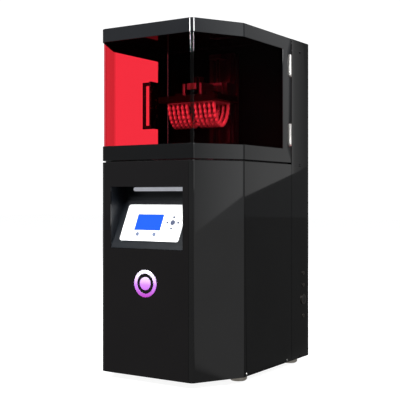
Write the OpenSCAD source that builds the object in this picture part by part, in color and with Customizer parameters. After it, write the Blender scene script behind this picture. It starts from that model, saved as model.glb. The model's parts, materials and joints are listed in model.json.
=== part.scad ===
// Desktop resin printer: lower cabinet with an angled front, hinged window hood, Z axis, vat and projector.
// Millimetres. Z is up and z = 0 is the surface it stands on. The front faces -Y.

/* [Cabinet] */
// Width across the side panels
body_w = 330; // [326:1:336]
// Width of the flat front face
front_w = 221; // [218:1:224]
// Depth from the front face to the back face
body_d = 394.5; // [392:0.5:397]
// Depth of the angled corners
chamfer_d = 103; // [100:1:105]
// Depth of the rear housing
rear_d = 87; // [86:1:88]
// Height of the feet
foot_h = 15; // [14:1:18]
// Height of the lower cabinet above the feet
cabinet_h = 427; // [424:1:430]
// Thickness of the sheet metal
skin = 2.5; // [2:0.5:3]

/* [Hood] */
// Gap between the lower cabinet and the hood
hood_gap = 3; // [3:0.5:4]
// Height of the hood
hood_h = 270; // [266:1:274]
// Height of the band below the window
low_band_h = 30; // [26:1:32]
// Height of the band above the window
top_band_h = 27.5; // [24:0.5:30]
// Width of the upright band beside the hinges
stile_w = 38; // [34:1:40]
// Thickness of the window
window_t = 3; // [2:0.5:3]
// Distance of the hinge axis in front of the seam
hinge_ahead = 8; // [7.5:0.5:8.5]

/* [Controls] */
// Width of the control recess
recess_w = 177; // [174:1:180]
// Height of the control recess
recess_h = 124; // [122:1:126]
// Height of the recess above the feet
recess_up = 253; // [250:1:256]
// Width of the keypad panel
keypad_w = 145; // [143:1:147]
// Height of the keypad panel along the slope
keypad_h = 80; // [78:1:81]
// Travel of the push buttons
button_travel = 0.8; // [0.5:0.1:1]

/* [Z axis] */
// Height of the underside of the build platform at rest
platform_z = 575; // [573:1:577]
// Width of the build platform
platform_w = 150; // [140:1:150]
// Depth of the build platform
platform_d = 90; // [80:1:90]
// Radius of the lead screw
screw_r = 4; // [4:0.5:4.5]

/* [Hidden] */
$fn = 48;

// Distance that keeps moving pieces apart
gap = 0.3;
// Radial play of a shaft in its bore
play = 0.05;
// Length added to a cutter so that it runs past a face
past = 1;

handle_reach = 30;
barrel_r = 4.1;
// The frame's origin is the centre of the box round the whole object, which the handle widens on the left
cabinet_x = (handle_reach - barrel_r) / 2;

y_front = -body_d / 2;
y_corner = y_front + chamfer_d;
y_back = body_d / 2;
y_seam = y_back - rear_d;
y_panel = y_seam + 0.5;
y_hood = y_seam - 1.5;
y_rear = y_seam + 1.5;
z_floor = foot_h;
z_base = z_floor + 3;
z_deck = foot_h + cabinet_h;
deck_t = 3;
z_hood = z_deck + hood_gap;
z_top = z_hood + hood_h;
z_window = z_hood + low_band_h;
z_window_top = z_top - top_band_h;
corner_turn = atan2(chamfer_d, (body_w - front_w) / 2);
bend_r = 11;
hinge = [body_w / 2, y_seam - hinge_ahead];

// Points of an arc of radius r that turns the path at p from heading a to heading b
function bend(p, a, b, r) = let (t = r * tan((b - a) / 2),
        centre = p - t * [cos(a), sin(a)] + r * [-sin(a), cos(a)], n = ceil((b - a) / 7))
    [for (k = [0:n]) let (h = a + (b - a) * k / n) centre + r * [sin(h), -cos(h)]];
// Right half of the plan, moved inwards by i, from the front's middle to y_end
function half_plan(i, y_end) = let (a = [front_w / 2 - i * tan(corner_turn / 2), y_front + i],
        c = [body_w / 2 - i, y_corner + i * tan((90 - corner_turn) / 2)], r = max(bend_r - i, 1))
    concat(bend(a, 0, corner_turn, r), bend(c, corner_turn, 90, r), [[c[0], y_end]]);
function mirrored(points) = [for (k = [len(points) - 1:-1:0]) [-points[k][0], points[k][1]]];
function plan(i, y_end) = concat(half_plan(i, y_end), mirrored(half_plan(i, y_end)));

module slab(i, y_end, z0, z1) translate([0, 0, z0]) linear_extrude(z1 - z0) polygon(plan(i, y_end));
// Wall that follows the front, corners and sides between two insets, open at the back
module wall(i0, i1, y_end, z0, z1) difference() {
    slab(i0, y_end, z0, z1);
    slab(i1, y_end + past, z0 - past, z1 + past);
}
module block(lo, hi) translate(lo) cube(hi - lo);
module rod(r, from, length, axis = [0, 0, 1])
    translate(from) rotate(axis[0] != 0 ? [0, 90, 0] : axis[1] != 0 ? [-90, 0, 0] : [0, 0, 0])
        cylinder(r = r, h = length);
// Flat plate with round corners, centred, standing on z = 0
module rounded_plate(w, h, t, r) linear_extrude(t) union() {
    square([w - 2 * r, h], center = true);
    square([w, h - 2 * r], center = true);
    for (x = [-1, 1], y = [-1, 1]) translate([x * (w / 2 - r), y * (h / 2 - r)]) circle(r);
}

// ---- lower cabinet ----
foot_x = 130;
foot_ys = [y_corner + 37, y_corner + 262];
foot_r = 18;
bolt_r = 4;
module at_feet() for (x = [-1, 1], y = foot_ys) translate([x * foot_x, y, 0]) children();
module base_plate() color("dimgray") difference() {
    slab(skin, y_back - rear_r, z_floor, z_base);
    at_feet() rod(bolt_r + 0.2, [0, 0, z_floor - past], 5);
    for (x = [-60:20:60]) block([x - 3, 70, z_floor - past], [x + 3, 130, z_base + past]);
}
// Turned foot with a rubber-rimmed sole, its bolt and the nut above the base plate
module foot() {
    rotate_extrude() polygon([[0, 0], [foot_r - 3, 0], [foot_r, 3], [foot_r, 10], [foot_r - 5, z_floor],
        [0, z_floor]]);
    rod(bolt_r, [0, 0, z_floor - past], 12);
    translate([0, 0, z_base]) cylinder(r = 7.5, h = 6, $fn = 6);
}
module feet() color("tan") at_feet() foot();

post = 12;
module frame_posts() color("silver") {
    for (x = [-1, 1], at = [[101, y_front + 13.5], [150, y_seam - 9.5]])
        translate([x * at[0] - post / 2, at[1] - post / 2, z_base]) cube([post, post, z_deck - deck_t - z_base]);
}

recess_z = z_floor + recess_up;
recess_top = recess_z + recess_h;
panel_edge = 102;
module front_panel() color([0.10, 0.10, 0.11]) difference() {
    block([-panel_edge, y_front, z_floor], [panel_edge, y_front + skin, z_deck]);
    block([-recess_w / 2, y_front - past, recess_z], [recess_w / 2, y_front + skin + past, recess_top]);
}
screw_r_hole = 1.7;
// Places of the side screws as [distance behind the front, height]
screw_z = z_floor + 4.8;
cabinet_screws = [[y_corner + 11, screw_z], [y_corner + 184, screw_z]];
housing_screws = [[y_back - 46, screw_z], [y_back - 46, z_deck - 1], [y_back - 46, z_top - 24]];
// Bent panel that makes the angled corner and the side, drawn for the right side
module side_panel() difference() {
    wall(0, skin, y_panel, z_floor, z_deck);
    block([-body_w, y_front - past, 0], [panel_edge + gap, y_back, z_top]);
    for (s = cabinet_screws) rod(screw_r_hole, [body_w / 2 - 5, s[0], s[1]], 10, [1, 0, 0]);
}
module right_side_panel() color([0.17, 0.17, 0.17]) side_panel();
module left_side_panel() color([0.17, 0.17, 0.17]) mirror([1, 0, 0]) side_panel();

// ---- rear housing ----
fan_at = [-70, 115];
fan_size = 80;
fan_bore = 38;
inlet_at = [75, 60];
switch_y = y_back - 30;
switch_z = z_floor + 128.7;
socket_zs = [z_floor + 187.1, z_floor + 160.6, z_floor + 92.1];
rear_r = 5;
module rear_plan(i) {
    x = body_w / 2 - i;
    y = y_back - i;
    r = rear_r - i;
    polygon(concat([[-x, y_rear - (i > 0 ? past : 0)], [x, y_rear - (i > 0 ? past : 0)]],
        [for (h = [0:15:90]) [x - r + r * cos(h), y - r + r * sin(h)]],
        [for (h = [90:15:180]) [-x + r + r * cos(h), y - r + r * sin(h)]]));
}
module rear_housing() color([0.16, 0.16, 0.16]) difference() {
    translate([0, 0, z_floor]) linear_extrude(z_top - z_floor) rear_plan(0);
    translate([0, 0, z_floor - past]) linear_extrude(z_top - skin - z_floor + past) rear_plan(skin);
    rod(fan_bore, [fan_at[0], y_back - 10, fan_at[1]], 20, [0, 1, 0]);
    block([inlet_at[0] - 15, y_back - 10, inlet_at[1] - 11], [inlet_at[0] + 15, y_back + past, inlet_at[1] + 11]);
    for (row = [0:9], x = [-75, 5]) block([x, y_back - 10, 250 + row * 14], [x + 70, y_back + past, 254 + row * 14]);
    rod(10, [body_w / 2 - 10, switch_y, switch_z], 20, [1, 0, 0]);
    for (z = socket_zs) rod(3.2, [body_w / 2 - 10, switch_y, z], 20, [1, 0, 0]);
    for (s = housing_screws, x = [-1, 1]) translate([x * body_w / 2, s[0], s[1]]) rotate([0, 90, 0])
        cylinder(r = screw_r_hole, h = 20, center = true);
}
module chamber_back_wall() color([0.09, 0.09, 0.10])
    block([-body_w / 2 + skin, y_rear, z_deck - deck_t], [body_w / 2 - skin, y_rear + skin, z_top - skin]);

vat_y = -8;
vat_w = 160;
clamp_r = 2.5;
clamp_x = vat_w / 2 + 4;
light_window = [110, 66];
screw_at = [0, y_seam - 37.5];
module deck_plate() color([0.12, 0.12, 0.13]) difference() {
    slab(skin, y_rear, z_deck - deck_t, z_deck);
    block([-light_window[0] / 2, vat_y - light_window[1] / 2, 0],
        [light_window[0] / 2, vat_y + light_window[1] / 2, z_top]);
    rod(12, [screw_at[0], screw_at[1], z_deck - 10], 20);
    for (x = [-1, 1]) rod(clamp_r + play, [x * clamp_x, vat_y, z_deck - 10], 20);
}
module deck_seal() color("black") wall(6, 11, y_hood - 4, z_deck, z_hood - 0.6);

// ---- control recess ----
slope_h = 95;
slope_d = 46;
pocket_d = 50;
lean = atan(slope_d / slope_h);
recess_t = 2.5;
y_slope = y_front + skin;
// Section through the sloping panel, its lip and the pocket above it, as depth and height
module recess_section() {
    t = recess_t;
    polygon([[skin, recess_z + 0.5 + skin / tan(lean)], [slope_d, recess_z + 0.5 + slope_h],
        [pocket_d, recess_z + 0.5 + slope_h], [pocket_d, recess_top + 4], [skin, recess_top + 4],
        [skin, recess_top + 4 + t], [pocket_d + t, recess_top + 4 + t], [pocket_d + t, recess_z + slope_h - 2],
        [slope_d + 1.8, recess_z + slope_h - 2], [skin + 0.4, recess_z - 3.5], [skin, recess_z - 3.5]]);
}
module along_x(w) translate([-w / 2, 0, 0]) rotate([90, 0, 90]) linear_extrude(w) children();
// Lip that carries the slope out through the front panel
module lip() polygon([[0.2, recess_z + 0.5 + 0.2 / tan(lean)], [skin + 1, recess_z + 0.5 + (skin + 1) / tan(lean)],
    [skin + 1, recess_z + 0.5], [0.2, recess_z + 0.5]]);
cheek_h = 79;
module cheek() polygon([[skin, recess_z + 1], [cheek_h * tan(lean) + 1, recess_z + cheek_h], [skin, recess_top - 3]]);
// Places children on the sloping panel: x across, then a distance up the slope, with z out of the panel
module on_slope(x, up) translate([x, y_front + up * sin(lean), recess_z + 0.5 + up * cos(lean)])
    rotate([90 - lean, 0, 0]) children();
keypad_up = 56.6;
keypad_x = 1.2;
pocket_w = recess_w + 10;
module control_recess() color([0.22, 0.22, 0.23]) {
    difference() {
        translate([0, y_front, 0]) {
            along_x(pocket_w) recess_section();
            along_x(recess_w - 1) lip();
        }
        on_slope(keypad_x, keypad_up) translate([0, 0, -10]) rounded_plate(keypad_w + 1, keypad_h + 1, 20, 5.5);
    }
    for (x = [-1, 1]) {
        translate([x * (recess_w / 2 + 1), y_front, 0]) along_x(2) cheek();
        translate([x * (pocket_w / 2 - 1), 0, 0])
            block([-1, y_front + skin, recess_z + 76], [1, y_front + pocket_d + 1, recess_top + 5]);
    }
}
lcd_size = [64.8, 35.4];
lcd_at = [-9.2, 57.4];
key_r = 4;
enter_r = 5.2;
nav_r = 2.2;
nav_at = [48.8, 57.6];
nav_step = 13;
// Every button as [x, distance up the slope, radius]
keys = [[-29.9, 31.2, key_r], [11.4, 31.2, key_r], [nav_at[0], nav_at[1], enter_r],
    [nav_at[0], nav_at[1] + nav_step - 1.5, nav_r], [nav_at[0], nav_at[1] - nav_step, nav_r],
    [nav_at[0] - nav_step, nav_at[1], nav_r], [nav_at[0] + nav_step, nav_at[1], nav_r]];
module keypad_panel() color("white") difference() {
    on_slope(keypad_x, keypad_up) translate([0, 0, -2]) rounded_plate(keypad_w, keypad_h, 3, 5);
    on_slope(lcd_at[0], lcd_at[1]) cube([lcd_size[0], lcd_size[1], 20], center = true);
    for (k = keys) on_slope(k[0], k[1]) cylinder(r = k[2] + gap, h = 20, center = true);
}
module lcd_display() color([0.12, 0.4, 1]) on_slope(lcd_at[0], lcd_at[1]) {
    translate([0, 0, -0.8]) cube([lcd_size[0] - 0.4, lcd_size[1] - 0.4, 2.8], center = true);
    translate([0, 0, -4.7]) cube([lcd_size[0] + 4, lcd_size[1] + 2, 5], center = true);
}
module keypad_board() color("darkgreen") {
    on_slope(keypad_x, keypad_up) translate([0, 0, -9]) rounded_plate(keypad_w - 6, keypad_h - 8, 1.6, 3);
    for (k = keys) on_slope(k[0], k[1]) translate([0, 0, -7.5]) cylinder(r = 1.6, h = 3.5 - button_travel - gap);
}
// Round push button with the flange that keeps it behind the panel
module push_button(k) on_slope(k[0], k[1]) {
    translate([0, 0, -3]) cylinder(r = k[2], h = 4.8);
    translate([0, 0, -4]) cylinder(r = k[2] + 1, h = 1.6);
}
module button_left() color("gainsboro") push_button(keys[0]);
module button_right() color("gainsboro") push_button(keys[1]);
module nav_enter() color("gainsboro") push_button(keys[2]);
module nav_up() color("slategray") push_button(keys[3]);
module nav_down() color("slategray") push_button(keys[4]);
module nav_left() color("slategray") push_button(keys[5]);
module nav_right() color("slategray") push_button(keys[6]);
bar_w = 129;
bar_h = 8;
module status_light_bar() color("lightgray")
    translate([0, y_front + pocket_d, recess_top - 4.9]) rotate([90, 0, 0])
        rounded_plate(bar_w, bar_h, 5, bar_h / 2 - 0.01);
// Plain round badge: a ring and a disc
module badge() color("orchid") translate([0, y_front, z_floor + 185]) rotate([90, 0, 0]) {
    difference() {
        cylinder(r = 27, h = 1.4);
        translate([0, 0, -past]) cylinder(r = 20, h = 4);
    }
    cylinder(r = 13, h = 1.4);
}
// Pan-head screw with its shank, head outwards along +X
module side_screw() {
    cylinder(r = 1.5, h = 7);
    translate([0, 0, 7]) rotate_extrude() polygon([[0, 0], [2.9, 0], [2.9, 0.6], [1.8, 1.5], [0, 1.5]]);
}
module panel_screws() color("silver")
    for (x = [-1, 1], s = concat(cabinet_screws, housing_screws))
        translate([x * (body_w / 2 - 7), s[0], s[1]]) rotate([0, 90 * x, 0]) side_screw();

// ---- electronics ----
module projector_body() color("dimgray") difference() {
    block([-60, vat_y - 60, 90], [60, vat_y + 60, 310]);
    for (z = [120:12:200]) block([-61, vat_y - 40, z], [-55, vat_y + 40, z + 5]);
}
lens_r = 24;
module projector_lens() color([0.2, 0.2, 0.22]) translate([0, vat_y, 310]) rotate_extrude()
    polygon([[0, 0], [lens_r + 6, 0], [lens_r + 6, 12], [lens_r, 14], [lens_r, 60], [lens_r - 4, 60],
        [lens_r - 6, 50], [0, 54]]);
module projector_bracket() color("silver") {
    block([-75, vat_y - 50, 86], [75, vat_y + 50, 90]);
    for (x = [-1, 1], y = [-1, 1]) translate([x * 69 - 6, vat_y + y * 44 - 6, z_base]) cube([12, 12, 86 - z_base]);
}
module control_board() color("seagreen") {
    block([136, -70, 60], [137.6, 80, 220]);
    for (y = [-64, 74], z = [66, 214]) rod(3, [137.6, y, z], body_w / 2 - skin - 137.6, [1, 0, 0]);
    for (k = [[-50, 90, 22], [-10, 120, 30], [40, 90, 18], [20, 170, 34]])
        block([130, k[0], k[1]], [136, k[0] + k[2], k[1] + k[2]]);
}
psu = [[-body_w / 2 + skin, -60, 40], [-105, 50, 190]];
// Sheet-metal case, open at the top end, with its circuit board, heat sinks and transformer
module power_supply() color("silver") {
    difference() {
        block(psu[0], psu[1]);
        block(psu[0] + [1.5, 1.5, 1.5], psu[1] + [-1.5, -1.5, past]);
        for (y = [-50:10:40], z = [52, 90, 128]) block([-107, y, z], [-104, y + 5, z + 30]);
    }
    block([psu[0][0] + 6, psu[0][1] + 1, psu[0][2] + 1], [psu[0][0] + 7.6, psu[1][1] - 1, psu[1][2] - 6]);
    for (y = [-56, 30]) block([psu[0][0] + 7, y, 50], [psu[0][0] + 40, y + 4, 170]);
    block([psu[0][0] + 7, -38, 70], [psu[0][0] + 37, 0, 108]);
    block([psu[0][0] + 7, 4, 120], [psu[0][0] + 27, 26, 150]);
    for (z = [55, 165]) rod(4, [psu[0][0], -5, z], 7, [1, 0, 0]);
    block([psu[0][0] + 7, -40, 168], [psu[0][0] + 25, 26, 182]);
}
module fan_frame() color("black") translate([fan_at[0], y_back - skin, fan_at[1]]) rotate([90, 0, 0]) {
    difference() {
        rounded_plate(fan_size, fan_size, 25, 4);
        translate([0, 0, -past]) cylinder(r = fan_bore, h = 27);
        for (x = [-1, 1], y = [-1, 1]) translate([x * 35.8, y * 35.8, -past]) cylinder(r = 2, h = 27);
    }
    translate([0, 0, 22]) for (a = [45:120:285]) rotate([0, 0, a]) translate([14, -2, 0]) cube([26, 4, 2.5]);
    translate([0, 0, 22]) cylinder(r = 17, h = 2.8);
    translate([0, 0, 9]) cylinder(r = 1.5, h = 14);
}
module fan_rotor() color("dimgray") translate([fan_at[0], y_back - skin - 3, fan_at[1]]) rotate([90, 0, 0])
    difference() {
        union() {
            cylinder(r = 16, h = 18);
            for (a = [0:360 / 7:359]) rotate([0, 0, a]) translate([14, 0, 9]) rotate([35, 0, 0])
                cube([44, 2, 17], center = true);
        }
        translate([0, 0, 5]) cylinder(r = 1.5 + play, h = 14);
        difference() {
            translate([0, 0, -past]) cylinder(r = 60, h = 22);
            translate([0, 0, -2 * past]) cylinder(r = fan_bore - 2, h = 24);
        }
    }
module fan_guard() color("silver") translate([fan_at[0], y_back, fan_at[1]]) rotate([-90, 0, 0]) {
    for (r = [12, 21, 30, 39]) difference() {
        cylinder(r = r, h = 1.5);
        translate([0, 0, -past]) cylinder(r = r - 1.8, h = 4);
    }
    for (a = [45:90:315]) rotate([0, 0, a]) translate([11, -1, 0]) cube([40, 2, 1.5]);
}
module power_inlet() color([0.08, 0.08, 0.08]) translate([inlet_at[0], y_back, inlet_at[1]]) rotate([90, 0, 0]) {
    difference() {
        union() {
            translate([0, 0, -2.5]) rounded_plate(50, 27, 2.5, 3);
            translate([0, 0, 10]) cube([29.6, 21.6, 22], center = true);
        }
        translate([0, 0, 5]) cube([24.5, 16.5, 21], center = true);
    }
    for (p = [[-7, -2], [0, 3], [7, -2]]) translate([p[0], p[1], 10]) cube([2, 4, 13], center = true);
}
bezel_r = 11;
rocker_r = 7.6;
module switch_bezel() color([0.75, 0.75, 0.77]) translate([body_w / 2, switch_y, switch_z]) rotate([0, 90, 0])
    difference() {
        union() {
            cylinder(r = bezel_r, h = 2);
            translate([0, 0, -10]) cylinder(r = 9.8, h = 11);
        }
        translate([0, 0, -7]) cylinder(r = rocker_r + 0.6, h = 10);
        rotate([90, 0, 0]) translate([0, -1, 0]) cylinder(r = 1 + play, h = 19, center = true);
    }
// Rocker, tilted to its off side at rest
rocker_tilt = 7;
module switch_rocker() color([0.1, 0.1, 0.1]) translate([body_w / 2 - 1, switch_y, switch_z])
    rotate([0, rocker_tilt, 0]) {
        rotate([0, 90, 0]) translate([0, 0, -2]) cylinder(r = rocker_r, h = 4.6);
        rotate([90, 0, 0]) cylinder(r = 1, h = 18.6, center = true);
    }
module side_sockets() color("silver") for (z = socket_zs) translate([body_w / 2, switch_y, z]) rotate([0, 90, 0])
    difference() {
        union() {
            cylinder(r = 4, h = 1.6);
            translate([0, 0, -9]) cylinder(r = 3, h = 10);
        }
        translate([0, 0, -5]) cylinder(r = 1.4, h = 10);
    }

// ---- vat ----
vat_d = 118;
z_rail = z_deck + 6;
vat_h = 30;
vat_wall = 7;
rail_x = vat_w / 2 - 8;
module vat_rails() color("silver") for (x = [-1, 1]) {
    translate([x * rail_x - 6, vat_y - 62, z_deck]) cube([12, 124, 6]);
}
module vat_frame() color("gainsboro") difference() {
    translate([0, vat_y, z_rail + gap]) rounded_plate(vat_w, vat_d, vat_h, 8);
    translate([0, vat_y, z_rail + gap + 3]) rounded_plate(vat_w - 2 * vat_wall, vat_d - 2 * vat_wall, vat_h, 5);
    translate([0, vat_y, z_rail - past]) rounded_plate(vat_w - 34, vat_d - 34, 6, 4);
}
module vat_film() color([0.8, 0.85, 0.9]) translate([0, vat_y, z_rail + gap + 3])
    rounded_plate(vat_w - 2 * vat_wall - 1, vat_d - 2 * vat_wall - 1, 0.5, 4.5);
// Clamp screw beside the vat: its knob holds the rim down, its shank turns in the deck
module vat_screw(side) translate([side * clamp_x, vat_y, z_deck]) {
    rod(clamp_r, [0, 0, -8], vat_h + 16);
    rod(7.5, [0, 0, vat_h + 6 + 2 * gap], 8);
    for (a = [0:45:315]) rotate([0, 0, a]) rod(1.5, [7.5, 0, vat_h + 6 + 2 * gap], 8);
}
module vat_screw_left() color("dimgray") vat_screw(-1);
module vat_screw_right() color("dimgray") vat_screw(1);

// ---- Z axis ----
y_column = y_seam - 22;
z_column_top = z_top - 22;
module z_column() color([0.25, 0.25, 0.27]) difference() {
    block([-32, y_column, z_deck], [32, y_rear, z_column_top]);
    for (x = [-1, 1]) block([x * 32 - 4, y_column + 8, z_deck - past], [x * 32 + 4, y_column + 16, z_top]);
}
linear_rail_x = 22;
module linear_rails() color("silver") for (x = [-1, 1])
    block([x * linear_rail_x - 4, y_column - 6, z_deck + 8], [x * linear_rail_x + 4, y_column, z_column_top - 4]);
module z_motor() color([0.2, 0.2, 0.2]) translate([screw_at[0], screw_at[1], 0]) {
    translate([0, 0, z_deck - deck_t - 42]) rounded_plate(42, 42, 42, 4);
    rod(11, [0, 0, z_deck - deck_t], 2);
    rod(2.5, [0, 0, z_deck - deck_t], 16);
}
z_screw = z_deck + 16;
module shaft_coupler() color("silver") translate([screw_at[0], screw_at[1], z_deck + 3]) difference() {
    cylinder(r = 9.5, h = 26);
    translate([0, 0, -past]) cylinder(r = 2.5 + play, h = 14);
    translate([0, 0, 12]) cylinder(r = screw_r + play, h = 20);
}
module lead_screw() color("silver")
    rod(screw_r, [screw_at[0], screw_at[1], z_screw], z_column_top - 6 - z_screw);
module top_bearing() color([0.3, 0.3, 0.3]) difference() {
    block([-16, screw_at[1] - 12, z_column_top - 14], [16, y_column, z_column_top - 4]);
    rod(screw_r + play, [screw_at[0], screw_at[1], z_column_top - 20], 30);
}
z_car = platform_z + 5;
car_h = 44;
nut_r = 11;
module z_carriage() color([0.18, 0.18, 0.19]) difference() {
    block([-34, screw_at[1] - 16, z_car], [34, y_column - gap, z_car + car_h]);
    for (x = [-1, 1]) block([x * linear_rail_x - 4 - gap, y_column - 6 - gap, z_car - past],
        [x * linear_rail_x + 4 + gap, y_column + past, z_car + car_h + past]);
    rod(nut_r - 3, [screw_at[0], screw_at[1], z_car - past], car_h + 2 * past);
}
module lead_nut() color("goldenrod") difference() {
    union() {
        rod(nut_r - 3, [screw_at[0], screw_at[1], z_car - 6], 26);
        rod(nut_r, [screw_at[0], screw_at[1], z_car - 6], 6);
    }
    rod(screw_r + play, [screw_at[0], screw_at[1], z_car - 10], 40);
}

// ---- build platform ----
platform_t = 12;
z_plate = platform_z + platform_t;
arm_z = z_plate + 14;
arm_h = 14;
y_arm = screw_at[1] - 16;
knob_pin_r = 3;
module platform_arm() color([0.2, 0.2, 0.21]) {
    difference() {
        block([-12, vat_y - 26, arm_z], [12, y_arm, arm_z + arm_h]);
        rod(knob_pin_r + play, [0, vat_y, arm_z - past], arm_h + 2 * past);
    }
    block([-24, y_arm - 6, z_car], [24, y_arm, z_car + car_h]);
    for (x = [-1, 1]) block([x * 21 - 3, vat_y - 24, z_plate], [x * 21 + 3, vat_y + 24, arm_z + arm_h]);
    block([-22, vat_y + 8, arm_z], [22, vat_y + 24, arm_z + arm_h]);
}
module build_platform() color([0.2, 0.19, 0.19]) {
    difference() {
        translate([0, vat_y, platform_z]) rounded_plate(platform_w, platform_d, platform_t, 6);
        for (x = [-1, 1], y = [-1, 1]) rod(2.2, [x * 60, vat_y + y * 32, z_plate - 6], 20);
    }
    for (x = [-1, 1]) block([x * 40 - 9, vat_y - 16, z_plate], [x * 40 + 9, vat_y + 16, z_plate + 9]);
}
z_knob = arm_z + arm_h + gap;
module platform_knob() color([0.15, 0.15, 0.15]) translate([0, vat_y, z_knob]) {
    cylinder(r = 11, h = 14);
    rod(knob_pin_r, [0, 0, -arm_h - gap], arm_h + past);
    for (a = [0:36:324]) rotate([0, 0, a]) translate([11, 0, 0]) cylinder(r = 2, h = 14);
}
raft_x = [-59, 63];
raft_d = 70;
raft_t = 4;
arch_t = 5;
arch_h = 54;
arch_half = 33;
arch_band = 9;
z_tip = platform_z - 56;
// Bow of a dental arch: half width against height above its tip
function bow(half, tip) = [for (a = [-90:7.5:90]) [half * sin(a), tip + (arch_h - tip) * (1 - cos(a))]];
// Dental arch standing on its front teeth below the raft, in a plane across the printer
module arch() translate([0, vat_y, z_tip]) rotate([90, 0, 90]) linear_extrude(arch_t) difference() {
    polygon(bow(arch_half, 0));
    polygon(concat(bow(arch_half - arch_band, arch_band), [[0, arch_h + past]]));
}
module sample_print() color([0.85, 0.8, 0.75]) {
    translate([(raft_x[0] + raft_x[1]) / 2, vat_y, platform_z - raft_t])
        rounded_plate(raft_x[1] - raft_x[0], raft_d, raft_t, 8);
    for (group = [-1, 1], k = [-2:2]) translate([group * 34 + k * 11.5 - 1, 0, 0]) arch();
}

// ---- hood ----
leaf_t = 1.3;
leaf_zs = [z_hood + 36.6, z_hood + 186.8];
hinge_h = 48.5;
leaf_w = 18;
handle_y = [y_corner + 132.5, y_corner + 163.5];
handle_z = [z_floor + 514.5, z_floor + 623.5];
module door_frame() color([0.15, 0.15, 0.16]) {
    difference() {
        wall(0, skin, y_hood, z_hood, z_top);
        block([-body_w, y_front - past, z_window], [body_w, y_hood - stile_w, z_window_top]);
        for (z = leaf_zs) block([hinge[0] - barrel_r - 2 * gap, hinge[1] - barrel_r - gap, z - gap],
            [body_w, y_hood + past, z + hinge_h + gap]);
    }
    wall(skin / 2, 14, y_hood, z_hood, z_hood + skin);
}
module door_window() color([0.75, 0.05, 0.1, 0.6]) wall(skin, skin + window_t, y_hood - 14, z_hood + 12, z_top - 10);
module door_roof() color([0.15, 0.15, 0.16]) slab(skin, y_hood, z_top - skin, z_top);
// Bow handle: a flange against the door, two posts and a slim grip
module door_handle() color("black") mirror([1, 0, 0]) {
    x = body_w / 2 - skin;
    x_grip = body_w / 2 + handle_reach;
    y = (handle_y[0] + handle_y[1]) / 2;
    block([x, handle_y[0], handle_z[0]], [x + 4, handle_y[1], handle_z[1]]);
    block([x_grip - 8, y - 2.5, handle_z[0]], [x_grip, y + 2.5, handle_z[1]]);
    for (z = [handle_z[0], handle_z[1] - 8]) block([x, y - 2.5, z], [x_grip - 4, y + 2.5, z + 8]);
}
// Barrel with one round end, standing on z = 0
module knuckle(h) {
    cylinder(r = barrel_r, h = h - barrel_r);
    translate([0, 0, h - barrel_r]) sphere(barrel_r);
}
knuckle_h = hinge_h / 2 - 0.3;
pin_r = 2;
strap_t = 2;
// Fixed half of each hinge: leaf, lower knuckle and pin
module hinge_pin_leaves() color("silver") for (z = leaf_zs) {
    translate([hinge[0], hinge[1], z + knuckle_h]) mirror([0, 0, 1]) knuckle(knuckle_h);
    rod(pin_r, [hinge[0], hinge[1], z + knuckle_h - past], 18);
    block([body_w / 2 - leaf_w, y_rear - leaf_t, z], [body_w / 2 - 0.5, y_rear, z + hinge_h]);
    block([hinge[0] - strap_t, hinge[1] + pin_r, z + 6], [hinge[0], y_rear, z + knuckle_h]);
}
// Moving half of each hinge: leaf and upper knuckle, bored for the pin
module door_hinge_leaves() color("silver") for (z = leaf_zs) difference() {
    union() {
        translate([hinge[0], hinge[1], z + hinge_h - knuckle_h]) knuckle(knuckle_h);
        block([body_w / 2 - leaf_w, y_hood, z], [body_w / 2 - 6, y_hood + leaf_t, z + hinge_h]);
        block([body_w / 2 - 7, y_hood, z + hinge_h - knuckle_h], [body_w / 2, y_hood + leaf_t, z + hinge_h - 6]);
        block([hinge[0] - strap_t, hinge[1] + pin_r, z + hinge_h - knuckle_h], [hinge[0], y_hood + past, z + hinge_h - 6]);
    }
    rod(pin_r + play, [hinge[0], hinge[1], z + hinge_h / 2 - past], 19.5);
}

// Moves a piece from the cabinet's centre plane to the frame's origin
module placed() translate([cabinet_x, 0, 0]) children();
placed() base_plate();
placed() feet();
placed() frame_posts();
placed() front_panel();
placed() left_side_panel();
placed() right_side_panel();
placed() rear_housing();
placed() chamber_back_wall();
placed() deck_plate();
placed() deck_seal();
placed() control_recess();
placed() keypad_panel();
placed() lcd_display();
placed() keypad_board();
placed() status_light_bar();
placed() badge();
placed() projector_body();
placed() projector_lens();
placed() projector_bracket();
placed() control_board();
placed() power_supply();
placed() fan_frame();
placed() fan_guard();
placed() fan_rotor();
placed() power_inlet();
placed() switch_bezel();
placed() switch_rocker();
placed() side_sockets();
placed() panel_screws();
placed() vat_rails();
placed() vat_frame();
placed() vat_film();
placed() vat_screw_left();
placed() vat_screw_right();
placed() z_column();
placed() linear_rails();
placed() z_motor();
placed() top_bearing();
placed() lead_screw();
placed() shaft_coupler();
placed() z_carriage();
placed() lead_nut();
placed() platform_arm();
placed() build_platform();
placed() platform_knob();
placed() sample_print();
placed() button_left();
placed() button_right();
placed() nav_enter();
placed() nav_up();
placed() nav_down();
placed() nav_left();
placed() nav_right();
placed() hinge_pin_leaves();
placed() door_frame();
placed() door_window();
placed() door_roof();
placed() door_handle();
placed() door_hinge_leaves();
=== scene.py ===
"""Looks of a resin printer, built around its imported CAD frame. Metres, Z up, the front faces -Y."""

import json
import math

import bmesh
import bpy
from mathutils import Matrix, Vector


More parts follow.
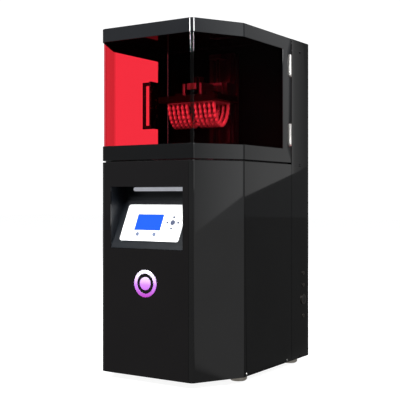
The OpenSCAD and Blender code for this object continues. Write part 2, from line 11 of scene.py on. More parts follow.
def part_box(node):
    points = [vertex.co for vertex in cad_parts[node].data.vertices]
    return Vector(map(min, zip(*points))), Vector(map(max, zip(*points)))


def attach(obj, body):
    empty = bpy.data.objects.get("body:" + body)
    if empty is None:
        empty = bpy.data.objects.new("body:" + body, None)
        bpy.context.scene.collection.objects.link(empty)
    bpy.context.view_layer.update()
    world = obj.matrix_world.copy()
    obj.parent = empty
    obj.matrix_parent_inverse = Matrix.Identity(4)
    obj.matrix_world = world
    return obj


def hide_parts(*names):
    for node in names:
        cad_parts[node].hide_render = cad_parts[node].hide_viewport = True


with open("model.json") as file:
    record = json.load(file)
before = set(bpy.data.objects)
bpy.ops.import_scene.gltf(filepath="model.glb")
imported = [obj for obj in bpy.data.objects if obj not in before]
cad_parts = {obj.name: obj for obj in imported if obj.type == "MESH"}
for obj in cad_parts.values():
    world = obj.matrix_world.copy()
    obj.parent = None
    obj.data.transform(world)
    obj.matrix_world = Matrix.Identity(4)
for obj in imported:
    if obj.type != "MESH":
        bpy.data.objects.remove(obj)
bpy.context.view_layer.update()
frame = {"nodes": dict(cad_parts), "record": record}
NODES = frame["nodes"]

# ------------------------------------------------------------------ places taken from the frame
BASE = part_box("base_plate")
CX = (BASE[0].x + BASE[1].x) / 2
SIDE_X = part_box("rear_housing")[1].x
FRONT_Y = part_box("front_panel")[0].y

# ------------------------------------------------------------------ camera, floor and light
AZIMUTH, DISTANCE, EYE_Z = 33.2, 1.8546, 0.3726
LENS_MM, SENSOR_MM, SHIFT_X, SHIFT_Y, AIM_Y = 77.0, 36, 0.0015, -0.00925, -0.00275

# Radiance of the studio's walls and floor as the glossy panels mirror them
STUDIO_GREY = 0.25
FLOOR_GREY = 0.21
# Lighter or darker walls of the studio: bearing in degrees, cosines where each starts and is full, brightness added
WALLS = [(2, 0.80, 0.96, 0.29), (60, 0.86, 0.97, -0.12)]
BACKDROP = 1.1  # radiance of the white backdrop that the camera sees
SOFTBOX_X = CX + 1.6  # plane that the softboxes stand on, to the right of the cabinet


def make_camera():
    data = bpy.data.cameras.new("camera")
    cam = bpy.data.objects.new("camera", data)
    bpy.context.scene.collection.objects.link(cam)
    a = math.radians(AZIMUTH)
    cam.location = (CX + DISTANCE * math.sin(a), AIM_Y - DISTANCE * math.cos(a), EYE_Z)
    cam.rotation_euler = (math.pi / 2, 0, a)
    data.lens, data.sensor_width = LENS_MM, SENSOR_MM
    data.shift_x, data.shift_y = SHIFT_X, SHIFT_Y
    data.clip_start, data.clip_end = 0.05, 60
    bpy.context.scene.camera = cam


def area_light(name, place, aim, size, power, colour=(1, 1, 1)):
    data = bpy.data.lights.new(name, "AREA")
    data.shape = "RECTANGLE"
    data.size, data.size_y = size
    data.energy, data.color = power, colour
    light = bpy.data.objects.new(name, data)
    light.location = place
    light.rotation_euler = (Vector(aim) - Vector(place)).to_track_quat("-Z", "Y").to_euler()
    bpy.context.scene.collection.objects.link(light)
    light.visible_camera = False
    return light


def fill_ramp(node, stops):
    """Gives a colour ramp node its stops, each a position and a grey level or a colour."""
    elements = node.color_ramp.elements
    while len(elements) < len(stops):
        elements.new(0.5)
    for e, (pos, value) in zip(elements, stops):
        e.position = pos
        e.color = (*value, 1) if isinstance(value, tuple) else (value, value, value, 1)


def wall_level(nt, towards, base):
    """Brightness of the studio in a direction: base, changed by each of WALLS."""
    level = None
    for degrees, low, high, gain in WALLS:
        dot = nt.nodes.new("ShaderNodeVectorMath")
        dot.operation = "DOT_PRODUCT"
        nt.links.new(towards, dot.inputs[0])
        a = math.radians(degrees)
        dot.inputs[1].default_value = (math.cos(a), math.sin(a), 0)
        lobe = nt.nodes.new("ShaderNodeMapRange")
        lobe.interpolation_type = "SMOOTHSTEP"
        lobe.inputs["From Min"].default_value, lobe.inputs["From Max"].default_value = low, high
        lobe.inputs["To Min"].default_value, lobe.inputs["To Max"].default_value = 0, gain
        nt.links.new(dot.outputs["Value"], lobe.inputs["Value"])
        add = nt.nodes.new("ShaderNodeMath")
        nt.links.new(lobe.outputs[0], add.inputs[0])
        add.inputs[1].default_value = base
        if level is not None:
            nt.links.new(level, add.inputs[1])
        level = add.outputs[0]
    return level


def make_world():
    """White to the camera. To all else, a dim studio with a lighter wall on the right and a darker one behind."""
    world = bpy.data.worlds.new("studio")
    bpy.context.scene.world = world
    world.use_nodes = True
    nt = world.node_tree
    nt.nodes.clear()
    out = nt.nodes.new("ShaderNodeOutputWorld")
    mix = nt.nodes.new("ShaderNodeMixShader")
    path = nt.nodes.new("ShaderNodeLightPath")
    dim = nt.nodes.new("ShaderNodeBackground")
    dim.inputs[0].default_value = (0.96, 0.98, 1.0, 1)
    white = nt.nodes.new("ShaderNodeBackground")
    white.inputs[0].default_value = (1, 1, 1, 1)
    white.inputs[1].default_value = BACKDROP
    at = nt.nodes.new("ShaderNodeTexCoord").outputs["Generated"]
    nt.links.new(wall_level(nt, at, STUDIO_GREY), dim.inputs[1])
    nt.links.new(path.outputs["Is Camera Ray"], mix.inputs[0])
    nt.links.new(dim.outputs[0], mix.inputs[1])
    nt.links.new(white.outputs[0], mix.inputs[2])
    nt.links.new(mix.outputs[0], out.inputs[0])


def make_floor():
    mesh = bpy.data.meshes.new("floor")
    bm = bmesh.new()
    bmesh.ops.create_grid(bm, x_segments=8, y_segments=8, size=12)
    bm.to_mesh(mesh)
    bm.free()
    floor = bpy.data.objects.new("floor", mesh)
    bpy.context.scene.collection.objects.link(floor)
    mat = bpy.data.materials.new("floor_pale")
    mat.use_nodes = True
    nt = mat.node_tree
    nt.nodes.clear()
    out = nt.nodes.new("ShaderNodeOutputMaterial")
    mix = nt.nodes.new("ShaderNodeMixShader")
    path = nt.nodes.new("ShaderNodeLightPath")
    seen = nt.nodes.new("ShaderNodeBsdfPrincipled")
    seen.inputs["Base Color"].default_value = (0.3, 0.3, 0.3, 1)
    seen.inputs["Roughness"].default_value = 0.9
    seen.inputs["Specular IOR Level"].default_value = 0.0
    seen.inputs["Emission Color"].default_value = (1, 1, 1, 1)
    seen.inputs["Emission Strength"].default_value = 0.92
    far = nt.nodes.new("ShaderNodeEmission")
    place = nt.nodes.new("ShaderNodeNewGeometry")
    towards = nt.nodes.new("ShaderNodeVectorMath")
    towards.operation = "NORMALIZE"
    beside = nt.nodes.new("ShaderNodeVectorMath")
    beside.operation = "SUBTRACT"
    beside.inputs[1].default_value = (SIDE_X, -0.1, 0)
    nt.links.new(place.outputs["Position"], beside.inputs[0])
    nt.links.new(beside.outputs["Vector"], towards.inputs[0])
    nt.links.new(wall_level(nt, towards.outputs["Vector"], FLOOR_GREY), far.inputs[1])
    nt.links.new(path.outputs["Is Camera Ray"], mix.inputs[0])
    nt.links.new(far.outputs[0], mix.inputs[1])
    nt.links.new(seen.outputs[0], mix.inputs[2])
    nt.links.new(mix.outputs[0], out.inputs[0])
    mesh.materials.append(mat)


def softbox(name, low_edge, size, levels):
    """A panel light facing -X on the plane x = SOFTBOX_X. It stands on the line between two (y, z) points, and its
    brightness follows levels, a list of (y, radiance)."""
    (y0, z0), (y1, z1) = low_edge
    along = Vector((0, y1 - y0, z1 - z0)).normalized()
    up = Vector((0, -along.z, along.y))
    centre = Vector((SOFTBOX_X, (y0 + y1) / 2, (z0 + z1) / 2)) + up * size[1] / 2
    light = area_light(name, centre, centre + Vector((-1, 0, 0)), size, math.pi * size[0] * size[1])
    light.rotation_euler = Matrix((along, up, (1, 0, 0))).transposed().to_euler()
    light.data.use_nodes = True
    nt = light.data.node_tree
    emission = nt.nodes["Emission"]
    place = nt.nodes.new("ShaderNodeNewGeometry")
    split = nt.nodes.new("ShaderNodeSeparateXYZ")
    nt.links.new(place.outputs["Position"], split.inputs[0])
    across = nt.nodes.new("ShaderNodeMapRange")
    first, last = levels[0][0], levels[-1][0]
    across.inputs["From Min"].default_value, across.inputs["From Max"].default_value = first, last
    nt.links.new(split.outputs["Y"], across.inputs["Value"])
    ramp = nt.nodes.new("ShaderNodeValToRGB")
    fill_ramp(ramp, [((y - first) / (last - first), level) for y, level in levels])
    nt.links.new(across.outputs[0], ramp.inputs["Fac"])
    nt.links.new(ramp.outputs["Color"], emission.inputs["Strength"])


def make_lights():
    area_light("key_high_front", (CX + 0.5, -2.3, 2.4), (CX, -0.1, 0.5), (1.5, 1.1), 120).visible_glossy = False
    area_light("key_high_right", (CX + 2.1, -0.7, 2.6), (CX, 0, 0.6), (1.4, 1.2), 45)
    area_light("back_high", (CX - 0.6, 2.3, 2.3), (CX, 0, 0.5), (1.8, 1.2), 55).visible_glossy = False
    area_light("left_fill", (CX - 2.2, 0.6, 1.9), (CX, 0, 0.5), (1.4, 1.2), 22)
    # Softboxes that the glossy corner and side panels mirror
    softbox("corner_softbox", ((-0.155, 0.253), (0.002, 0.374)), (1.3, 1.3),
            [(-0.2, 0.02), (-0.155, 0.16), (-0.08, 0.44), (0.0, 0.75)])
    softbox("side_softbox", ((2.391, 0.374), (2.991, 0.516)), (1.2, 1.6),
            [(2.38, 0.37), (2.6, 0.43), (2.92, 0.43), (2.96, 0.2), (3.05, 0.1), (3.2, 0.02)])
    # Narrow bright panels that the bend between the front and the angled corner shows as two thin lines
    for name, bearing, width, radiance in (("bend_strip_1", -110.0, 0.395, 57), ("bend_strip_2", -24.0, 0.6, 30)):
        a = math.radians(bearing)
        bend = Vector((CX + 0.11, FRONT_Y, 0.69))
        place = bend + Vector((1.5 * math.cos(a), 1.5 * math.sin(a), 0.39))
        area_light(name, place, bend, (width, 0.34), radiance * math.pi * width * 0.34)
    # A dim panel below the second one, which the same bend shows lower down
    low = Vector((place.x, place.y, 0.58))
    area_light("bend_glow", low, (bend.x, bend.y, 0.58), (0.4, 0.36), 0.375)


# ------------------------------------------------------------------ material helpers
class Paint:
    """A material's node tree, with short names for the nodes that the materials below use."""

    def __init__(self, name, colour, roughness=0.4, metallic=0.0, level=0.5):
        self.mat = bpy.data.materials.new(name)
        self.mat.use_nodes = True
        self.nt = self.mat.node_tree
        self.shader = self.nt.nodes["Principled BSDF"]
        self.at = self.nt.nodes.new("ShaderNodeTexCoord").outputs["Object"]
        self.set("Base Color", (*colour, 1))
        self.set("Roughness", roughness)
        self.set("Metallic", metallic)
        self.set("Specular IOR Level", level)
        self.colour = colour
        self.mat.diffuse_color = (*colour, 1)

    def set(self, socket, value):
        self.shader.inputs[socket].default_value = value

    def node(self, kind, links=(), **values):
        n = self.nt.nodes.new(kind)
        for key, value in values.items():
            if hasattr(n, key):
                setattr(n, key, value)
            else:
                n.inputs[key.replace("_", " ")].default_value = value
        for socket, source in links:
            self.nt.links.new(source, n.inputs[socket])
        return n

    def link(self, source, socket):
        self.nt.links.new(source, self.shader.inputs[socket])

    def stretched(self, scale):
        """Object coordinates, scaled on each axis."""
        return self.node("ShaderNodeMapping", [("Vector", self.at)], Scale=scale).outputs[0]

    def noise(self, scale, detail=3.0, rough=0.55, at=None):
        n = self.node("ShaderNodeTexNoise", [("Vector", at or self.at)], Scale=scale, Detail=detail, Roughness=rough)
        return n.outputs["Fac"]

    def ramp(self, source, stops):
        n = self.node("ShaderNodeValToRGB", [("Fac", source)])
        fill_ramp(n, stops)
        return n.outputs["Color"]

    def between(self, source, low, high):
        """source 0 to 1 carried to low to high."""
        n = self.node("ShaderNodeMapRange", [("Value", source)])
        n.inputs["To Min"].default_value, n.inputs["To Max"].default_value = low, high
        return n.outputs[0]

    def tint(self, source, spread=0.25):
        """Base colour that varies with source round the material's own."""
        lo = tuple(c * (1 - spread) for c in self.colour)
        hi = tuple(min(1, c * (1 + spread)) for c in self.colour)
        self.link(self.ramp(source, [(0.3, lo), (0.7, hi)]), "Base Color")

    def rough(self, source, low, high):
        self.link(self.between(source, low, high), "Roughness")

    def bump(self, source, height, strength=1.0):
        n = self.node("ShaderNodeBump", [("Height", source)], Strength=strength, Distance=height)
        self.link(n.outputs[0], "Normal")


def gloss_paint(name, colour, painted_low_shade=None):
    """Sprayed gloss enamel: faint orange peel, dust and soft wipe marks. painted_low_shade, when given, is painted
    shade: two heights and the share of the colour that is left at the lower one, so the colour darkens towards the
    bottom."""
    p = Paint(name, colour, 0.05, level=0.5)
    p.tint(p.noise(9, 4), 0.12)
    # Painted shade: the base colour is scaled down from full at the upper height to the given share at the lower one.
    if painted_low_shade:
        base = p.shader.inputs["Base Color"].links[0].from_socket
        height = p.node("ShaderNodeSeparateXYZ", [("Vector", p.at)]).outputs["Z"]
        share = p.node("ShaderNodeMapRange", [("Value", height)])
        share.inputs["From Min"].default_value, share.inputs["From Max"].default_value = painted_low_shade[:2]
        share.inputs["To Min"].default_value = painted_low_shade[2]
        shaded_colour = p.node("ShaderNodeVectorMath", [("Vector", base), ("Scale", share.outputs[0])], operation="SCALE")
        p.link(shaded_colour.outputs[0], "Base Color")
    wipes = p.noise(5, 5, 0.6, p.stretched((1, 1, 0.35)))
    p.rough(wipes, 0.012, 0.045)
    p.bump(p.noise(420, 2, 0.5), 0.000002, 0.6)
    return p.mat


def satin_plastic(name, colour, grain=0.00004, roughness=0.42, level=0.5, painted_glow=0.0):
    """Moulded plastic with a fine spark-eroded grain. painted_glow, when above 0, is painted light: an emission in the
    plastic's own colour that lights it from within.
    """
    p = Paint(name, colour, roughness, level=level)
    # Painted light: emission in the plastic's own colour, at the given strength.
    p.set("Emission Color", (*colour, 1))
    p.set("Emission Strength", painted_glow)
    p.tint(p.noise(30, 4), 0.15)
    p.rough(p.noise(60, 4), roughness - 0.06, roughness + 0.08)
    p.bump(p.noise(900, 2, 0.5), grain, 0.7)
    return p.mat


def machined_metal(name, colour, roughness=0.28, along="z", depth=0.00002):
    """Brushed or turned metal: fine lines along one axis."""
    p = Paint(name, colour, roughness, metallic=1.0)
    scale = {"x": (6, 900, 900), "y": (900, 6, 900), "z": (900, 900, 6)}[along]
    lines = p.noise(1, 4, 0.6, p.stretched(scale))
    p.tint(p.noise(40, 4), 0.12)
    p.rough(lines, roughness - 0.1, roughness + 0.12)
    p.bump(lines, depth, 0.5)
    return p.mat


def screw_metal(name, plated, blackened):
    """Plated screws on the cabinet and blackened ones on the rear housing."""
    p = Paint(name, plated, 0.34, metallic=1.0)
    depth = p.node("ShaderNodeSeparateXYZ", [("Vector", p.at)]).outputs["Y"]
    behind = p.node("ShaderNodeMapRange", [("Value", depth)])
    behind.inputs["From Min"].default_value, behind.inputs["From Max"].default_value = 0.11, 0.13
    p.link(p.ramp(behind.outputs[0], [(0.0, plated), (1.0, blackened)]), "Base Color")
    p.rough(p.noise(300, 3), 0.26, 0.42)
    p.bump(p.noise(900, 2), 0.000005, 0.5)
    return p.mat


def sheet_acrylic(name, tint, steep_tints=(), mirror=1.0, bend_tint=None):
    """Cast acrylic sheet: passes tinted light, deeper where the path through it is long, and mirrors at its outer
    faces. mirror is the share left by the anti-glare coat of the flat faces. The bends are polished more and pass
    bend_tint."""
    mat = bpy.data.materials.new(name)
    mat.use_nodes = True
    nt = mat.node_tree
    nt.nodes.clear()
    out = nt.nodes.new("ShaderNodeOutputMaterial")
    mix = nt.nodes.new("ShaderNodeMixShader")
    clear = nt.nodes.new("ShaderNodeBsdfTransparent")
    slant = nt.nodes.new("ShaderNodeLayerWeight")
    slant.inputs["Blend"].default_value = 0.5
    depth = nt.nodes.new("ShaderNodeValToRGB")
    fill_ramp(depth, ((0.0, tint), (0.62, tint), *steep_tints))
    nt.links.new(slant.outputs["Facing"], depth.inputs["Fac"])
    gloss = nt.nodes.new("ShaderNodeBsdfGlossy")
    gloss.inputs["Color"].default_value = (1, 1, 1, 1)
    at = nt.nodes.new("ShaderNodeTexCoord")
    # 0 on the flat front, side and angled faces, 1 on the bends between them
    facing = nt.nodes.new("ShaderNodeSeparateXYZ")
    nt.links.new(at.outputs["Normal"], facing.inputs[0])
    across = nt.nodes.new("ShaderNodeMath")
    across.operation = "ABSOLUTE"
    nt.links.new(facing.outputs["X"], across.inputs[0])
    bare = nt.nodes.new("ShaderNodeValToRGB")
    fill_ramp(bare, ((0.02, 0), (0.08, 1), (0.80, 1), (0.86, 0)))
    nt.links.new(across.outputs[0], bare.inputs["Fac"])
    through = nt.nodes.new("ShaderNodeMixRGB")
    through.inputs["Color2"].default_value = (*(bend_tint or tint), 1)
    nt.links.new(bare.outputs["Color"], through.inputs["Fac"])
    nt.links.new(depth.outputs["Color"], through.inputs["Color1"])
    nt.links.new(through.outputs["Color"], clear.inputs[0])
    polish = nt.nodes.new("ShaderNodeMapRange")
    polish.inputs["To Min"].default_value, polish.inputs["To Max"].default_value = mirror, max(mirror, 0.38)
    nt.links.new(bare.outputs["Color"], polish.inputs["Value"])
    fresnel = nt.nodes.new("ShaderNodeFresnel")
    fresnel.inputs["IOR"].default_value = 1.49
    geometry = nt.nodes.new("ShaderNodeNewGeometry")
    outer = nt.nodes.new("ShaderNodeMath")
    outer.operation = "SUBTRACT"
    outer.inputs[0].default_value = 1
    share = nt.nodes.new("ShaderNodeMath")
    share.operation = "MULTIPLY"
    coated = nt.nodes.new("ShaderNodeMath")
    coated.operation = "MULTIPLY"
    nt.links.new(geometry.outputs["Backfacing"], outer.inputs[1])
    nt.links.new(fresnel.outputs[0], share.inputs[0])
    nt.links.new(outer.outputs[0], share.inputs[1])
    nt.links.new(share.outputs[0], coated.inputs[0])
    nt.links.new(polish.outputs[0], coated.inputs[1])
    noise = nt.nodes.new("ShaderNodeTexNoise")
    noise.inputs["Scale"].default_value = 14
    ramp = nt.nodes.new("ShaderNodeMapRange")
    ramp.inputs["To Min"].default_value, ramp.inputs["To Max"].default_value = 0.02, 0.07
    nt.links.new(at.outputs["Object"], noise.inputs["Vector"])
    nt.links.new(noise.outputs["Fac"], ramp.inputs["Value"])
    nt.links.new(ramp.outputs[0], gloss.inputs["Roughness"])
    nt.links.new(coated.outputs[0], mix.inputs[0])
    nt.links.new(clear.outputs[0], mix.inputs[1])
    nt.links.new(gloss.outputs[0], mix.inputs[2])
    nt.links.new(mix.outputs[0], out.inputs[0])
    mat.diffuse_color = (*tint, 0.5)
    return mat


def glowing_display(name, colour):
    """Backlit display behind a clear face, with a faint dot grid."""
    p = Paint(name, (0.004, 0.02, 0.12), 0.1)
    dots = p.node("ShaderNodeTexBrick", [("Vector", p.at)], Scale=900.0, Mortar_Size=0.02)
    for socket, share in (("Color1", 1.0), ("Color2", 1.06), ("Mortar", 0.9)):
        dots.inputs[socket].default_value = (*(c * share for c in colour), 1)
    p.link(dots.outputs["Color"], "Emission Color")
    p.set("Emission Strength", 0.95)
    return p.mat


def resin_print(name, colour):
    """Cured resin: waxy, with fine build layers along Z."""
    p = Paint(name, colour, 0.33)
    layers = p.node("ShaderNodeTexWave", [("Vector", p.at)], Scale=700.0, Distortion=0.3)
    layers.bands_direction = "Z"
    p.tint(p.noise(60, 4), 0.08)
    p.rough(p.noise(120, 4), 0.22, 0.42)
    p.bump(layers.outputs["Fac"], 0.00003, 0.5)
    return p.mat


def enamel_badge(name):
    """Enamel that runs from white at the rim's top to violet and magenta below."""
    p = Paint(name, (0.6, 0.4, 0.65), 0.22)
    height = p.node("ShaderNodeSeparateXYZ", [("Vector", p.at)]).outputs["Z"]
    low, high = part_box("badge")[0].z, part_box("badge")[1].z
    up = p.node("ShaderNodeMapRange", [("Value", height)])
    up.inputs["From Min"].default_value, up.inputs["From Max"].default_value = low, high
    p.link(p.ramp(up.outputs[0], [(0.0, (0.30, 0.03, 0.32)), (0.45, (0.42, 0.16, 0.62)), (1.0, (0.85, 0.82, 0.92))]),
           "Base Color")
    p.rough(p.noise(90, 4), 0.16, 0.3)
    p.bump(p.noise(500, 2), 0.00001, 0.5)
    return p.mat


def rubber(name, colour):
    p = Paint(name, colour, 0.75)
    p.tint(p.noise(50, 5), 0.3)
    p.bump(p.noise(1500, 3), 0.00005, 0.8)
    return p.mat


def circuit_board(name, colour):
    """Green solder mask over copper tracks."""
    p = Paint(name, colour, 0.3)
    tracks = p.node("ShaderNodeTexBrick", [("Vector", p.at)], Scale=160.0, Mortar_Size=0.09)
    tracks.inputs["Color1"].default_value = (0.006, 0.09, 0.03, 1)
    tracks.inputs["Color2"].default_value = (0.008, 0.13, 0.045, 1)
    tracks.inputs["Mortar"].default_value = (0.02, 0.22, 0.08, 1)
    p.link(tracks.outputs["Color"], "Base Color")
    p.rough(p.noise(80, 3), 0.22, 0.38)
    p.bump(tracks.outputs["Fac"], 0.00002, 0.6)
    return p.mat


MATS = {
    "black_panel": gloss_paint("black_panel", (0.0022, 0.0018, 0.0020)),
    "side_panel": gloss_paint("side_panel", (0.0034, 0.0034, 0.0035)),
    # The hood's painted shade: its colour darkens from full at 0.66 m to 15% at 0.48 m and below.
    "hood_black": gloss_paint("hood_black", (0.0062, 0.0068, 0.0080), painted_low_shade=(0.48, 0.66, 0.15)),
    "dark_steel": gloss_paint("dark_steel", (0.02, 0.02, 0.022)),
    "chamber_black": satin_plastic("chamber_black", (0.0012, 0.0012, 0.0013), roughness=0.6, level=0.0),
    "recess_plastic": satin_plastic("recess_plastic", (0.0038, 0.0053, 0.0075), roughness=0.34, level=0.35),
    "keypad_white": satin_plastic("keypad_white", (0.86, 0.87, 0.90), grain=0.000015, roughness=0.3),
    "lcd_blue": glowing_display("lcd_blue", (0.006, 0.10, 0.93)),
    "circuit_board": circuit_board("circuit_board", (0.006, 0.1, 0.035)),
    # Painted light: the light bar's emission makes its grey plastic look brighter.
    "light_bar": satin_plastic("light_bar", (0.42, 0.43, 0.47), grain=0.00001, roughness=0.35, painted_glow=0.7),
    "projector_case": gloss_paint("projector_case", (0.03, 0.03, 0.032)),
    "lens_barrel": machined_metal("lens_barrel", (0.03, 0.03, 0.032), 0.35),
    "bare_aluminium": machined_metal("bare_aluminium", (0.72, 0.73, 0.75), 0.32),
    "bare_steel": machined_metal("bare_steel", (0.62, 0.63, 0.65), 0.3),
    "rail_steel": machined_metal("rail_steel", (0.035, 0.035, 0.037), 0.4),
    "fan_plastic": satin_plastic("fan_plastic", (0.012, 0.012, 0.013)),
    "chrome_trim": machined_metal("chrome_trim", (0.16, 0.145, 0.135), 0.4, "x", 0.000005),
    "screw_steel": screw_metal("screw_steel", (0.42, 0.41, 0.40), (0.03, 0.03, 0.032)),
    "foot_metal": machined_metal("foot_metal", (0.72, 0.66, 0.58), 0.34),
    "vat_plastic": satin_plastic("vat_plastic", (0.03, 0.03, 0.034), roughness=0.25),
    "clear_film": sheet_acrylic("clear_film", (0.9, 0.93, 0.95)),
    "knob_plastic": satin_plastic("knob_plastic", (0.0015, 0.0015, 0.0016), level=0.05),
    "column_anodised": machined_metal("column_anodised", (0.035, 0.035, 0.04), 0.4),
    "motor_black": gloss_paint("motor_black", (0.01, 0.01, 0.011)),
    "nut_brass": machined_metal("nut_brass", (0.75, 0.52, 0.2), 0.25),
    "arm_black": machined_metal("arm_black", (0.11, 0.11, 0.12), 0.38, "y"),
    "platform_dark": machined_metal("platform_dark", (0.006, 0.005, 0.005), 0.45, "x"),
    "print_resin": resin_print("print_resin", (0.57, 0.53, 0.53)),
    "button_grey": satin_plastic("button_grey", (0.10, 0.13, 0.21), grain=0.00001),
    "button_dark": satin_plastic("button_dark", (0.05, 0.065, 0.12), grain=0.00001),
    "hinge_steel": machined_metal("hinge_steel", (0.68, 0.66, 0.64), 0.5, "z", 0.000005),
    "handle_black": satin_plastic("handle_black", (0.008, 0.008, 0.009), roughness=0.25),
    "seal_rubber": rubber("seal_rubber", (0.012, 0.012, 0.012)),
    "window_red": sheet_acrylic(
        "window_red", (0.955, 0.40, 0.46),
        ((0.80, (0.80, 0.35, 0.38)), (0.90, (0.68, 0.11, 0.16)), (1.0, (0.55, 0.08, 0.1))), 0.02, (0.72, 0.12, 0.17)),
    "badge_enamel": enamel_badge("badge_enamel"),
}


SLOT_OF = {part["node"]: part["material_slot"] for part in frame["record"]["subparts"]}
# Edge radius of each kind of piece, in metres; the rest get EDGE
EDGES = {
    "front_panel": 0.0001, "left_side_panel": 0.0005, "right_side_panel": 0.0005, "rear_housing": 0.0006,
    "door_frame": 0.0009, "door_roof": 0.0006, "door_handle": 0.0012, "keypad_panel": 0.0004,
    "status_light_bar": 0.0015, "build_platform": 0.0008, "platform_arm": 0.0008, "z_carriage": 0.0008,
    "projector_body": 0.002, "power_inlet": 0.0006, "badge": 0.0004, "vat_frame": 0.0010, "z_column": 0.0005,
}
EDGE = 0.0003


def soften(piece, radius):
    """Joins the split corners, rounds the sharp edges and shades the piece smoothly."""
    mesh = piece.data
    for name in ("custom_normal", "sharp_edge"):
        if name in mesh.attributes:
            mesh.attributes.remove(mesh.attributes[name])
    mesh.shade_smooth()
    weld = piece.modifiers.new("weld", "WELD")
    weld.merge_threshold = 0.000004
    edge = piece.modifiers.new("edge", "BEVEL")
    edge.width, edge.segments, edge.limit_method = radius, 2, "ANGLE"
    edge.angle_limit = math.radians(32)
    edge.use_clamp_overlap = True
    shade = piece.modifiers.new("shade", "WEIGHTED_NORMAL")
    shade.keep_sharp, shade.weight = False, 80


def paint_nodes():
    """Every CAD node takes the material of its slot and gets softened edges."""
    for node, slot in SLOT_OF.items():
        mesh = NODES[node].data
        mesh.materials.clear()
        mesh.materials.append(MATS[slot])
        for face in mesh.polygons:
            face.material_index = 0
        soften(NODES[node], EDGES.get(node, EDGE))


# ------------------------------------------------------------------ detailed pieces
def finish_piece(bm, name, body, slot, *nodes):
    """Mesh object from bm that rides on a body, takes a slot's finish and stands for CAD nodes."""
    mesh = bpy.data.meshes.new(name)
    bmesh.ops.recalc_face_normals(bm, faces=bm.faces)
    bm.to_mesh(mesh)
    bm.free()
    mesh.shade_smooth()
    mesh.materials.append(MATS[slot])
    piece = bpy.data.objects.new(name, mesh)
    bpy.context.scene.collection.objects.link(piece)
    shade = piece.modifiers.new("shade", "WEIGHTED_NORMAL")
    shade.keep_sharp, shade.weight = False, 60
    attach(piece, body)
    if nodes:
        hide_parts(*nodes)
    return piece


def loft(bm, rings):
    """Skin over rings of points, capped at both ends."""
    verts = [[bm.verts.new(p) for p in ring] for ring in rings]
    count = len(verts[0])
    for a, b in zip(verts, verts[1:]):
        for k in range(count):
            bm.faces.new((a[k], a[(k + 1) % count], b[(k + 1) % count], b[k]))
    bm.faces.new(verts[0][::-1])
    bm.faces.new(verts[-1])


def rounded_outline(lo, hi, radius, steps=6):
    """Corner points of a rectangle with round corners, anticlockwise."""
    points = []
    for cx, cy, start in ((hi[0] - radius, hi[1] - radius, 0), (lo[0] + radius, hi[1] - radius, 90),
                          (lo[0] + radius, lo[1] + radius, 180), (hi[0] - radius, lo[1] + radius, 270)):
        for k in range(steps + 1):
            a = math.radians(start + 90 * k / steps)
            points.append((cx + radius * math.cos(a), cy + radius * math.sin(a)))
    return points


def dental_arches():
    """Ten printed dental arches under their raft, each with a row of teeth round its bow."""
    lo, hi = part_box("sample_print")
    mid_y = (lo.y + hi.y) / 2
    bm = bmesh.new()
    raft_z = hi.z - 0.004
    plate = [(0.0012, raft_z - 0.0005), (0.0, raft_z + 0.0008), (0.0, hi.z)]
    loft(bm, [[(x, y, z) for x, y in rounded_outline((lo.x + i, lo.y + i), (hi.x - i, hi.y - i), 0.008)]
              for i, z in plate])
    # Half width, band width and height of an arch; scallops on half of its bow; steps along half of it
    half, band, rise, teeth, steps = 0.033, 0.009, 0.054, 7, 70
    for group in (-1, 1):
        for k in range(-2, 3):
            x0 = lo.x + 0.059 + group * 0.034 + k * 0.0115 + 0.0015
            rings = []
            for step in range(-steps, steps + 1):
                turn = math.pi / 2 * step / steps
                outer = Vector((0, half * math.sin(turn), rise * (1 - math.cos(turn))))
                inner = Vector((0, (half - band) * math.sin(turn), band + (rise - band) * (1 - math.cos(turn))))
                crown = abs(math.cos(step / steps * teeth * math.pi))
                reach = 0.82 + 0.24 * crown
                thick = 0.0021 + 0.0011 * crown
                ring = []
                for c in range(14):
                    a = 2 * math.pi * c / 14
                    u = math.copysign(abs(math.cos(a)) ** 0.7, math.cos(a))
                    v = math.copysign(abs(math.sin(a)) ** 0.7, math.sin(a))
                    p = inner + (outer - inner) * (0.5 + (0.5 * u if u < 0 else (reach - 0.5) * u))
                    ring.append((x0 + thick * v, mid_y + p.y, lo.z + 0.0004 + p.z))
                rings.append(ring)
            loft(bm, rings)
            # Support posts between the arch's ends and the raft
            for side in (-1, 1):
                y = mid_y + side * (half - band / 2 - 0.004)
                loft(bm, [[(x0 + r * math.cos(t), y + r * math.sin(t), z) for t in
                           (math.pi * n / 4 for n in range(8))]
                          for r, z in ((0.0012, raft_z - 0.012), (0.0009, raft_z - 0.006), (0.0016, raft_z + 0.0005))])
    return finish_piece(bm, "dental_arches", "z_stage", "print_resin", "sample_print")


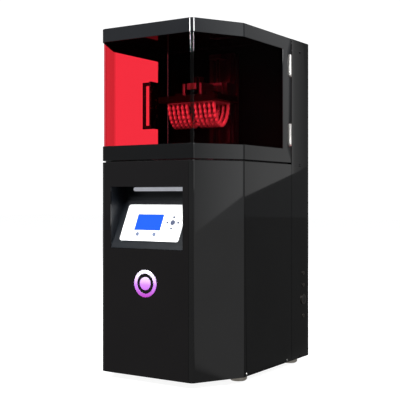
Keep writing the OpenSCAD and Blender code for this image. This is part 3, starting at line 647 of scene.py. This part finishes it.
def threaded_screw():
    """Four-start trapezoidal lead screw."""
    lo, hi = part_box("lead_screw")
    cx, cy, r = (lo.x + hi.x) / 2, (lo.y + hi.y) / 2, (hi.x - lo.x) / 2
    starts, lead, around = 4, 0.008, 32
    bm = bmesh.new()
    rings = []
    rows = int((hi.z - lo.z) / 0.0005)
    for n in range(rows + 1):
        z = lo.z + (hi.z - lo.z) * n / rows
        end = min(1, (z - lo.z) / 0.004, (hi.z - z) / 0.004)
        ring = []
        for c in range(around):
            a = 2 * math.pi * c / around
            wave = (z / lead * starts - starts * a / (2 * math.pi)) % 1
            tooth = min(1, max(0, 2.2 - abs(wave - 0.5) * 8))
            rr = r - 0.0009 * (1 - tooth) if end > 0.5 else r - 0.0009
            ring.append((cx + rr * math.cos(a), cy + rr * math.sin(a), z))
        rings.append(ring)
    loft(bm, rings)
    return finish_piece(bm, "threaded_screw", "screw", "rail_steel", "lead_screw")


def fan_screws():
    """Four pan-head screws with a cross recess that hold the fan and its guard."""
    face_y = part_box("fan_guard")[1].y
    frame_lo, frame_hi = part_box("fan_frame")
    cx, cz = (frame_lo.x + frame_hi.x) / 2, (frame_lo.z + frame_hi.z) / 2
    bm = bmesh.new()
    hole, around = 0.0358, 24  # distance of the holes from the centre lines, points round each screw
    turns = [2 * math.pi * k / around for k in range(around)]
    profile = ((0.0034, 0.0), (0.0034, 0.0004), (0.0028, 0.0008), (0.0017, 0.0009))
    for x in (cx - hole, cx + hole):
        for z in (cz - hole, cz + hole):
            rings = [[(x + r * math.cos(t), face_y + out, z + r * math.sin(t)) for t in turns] for r, out in profile]
            # Cross recess: the inner ring dips where the slots are
            rings.append([(x + 0.0015 * math.cos(t), face_y + (0.0003 if k % 6 in (0, 1) else 0.0009),
                           z + 0.0015 * math.sin(t)) for k, t in enumerate(turns)])
            loft(bm, rings)
    return finish_piece(bm, "fan_screws", "chassis", "screw_steel")


make_camera()
make_world()
make_floor()
make_lights()
paint_nodes()
dental_arches()
threaded_screw()
fan_screws()

bpy.context.scene.view_settings.view_transform = "Standard"
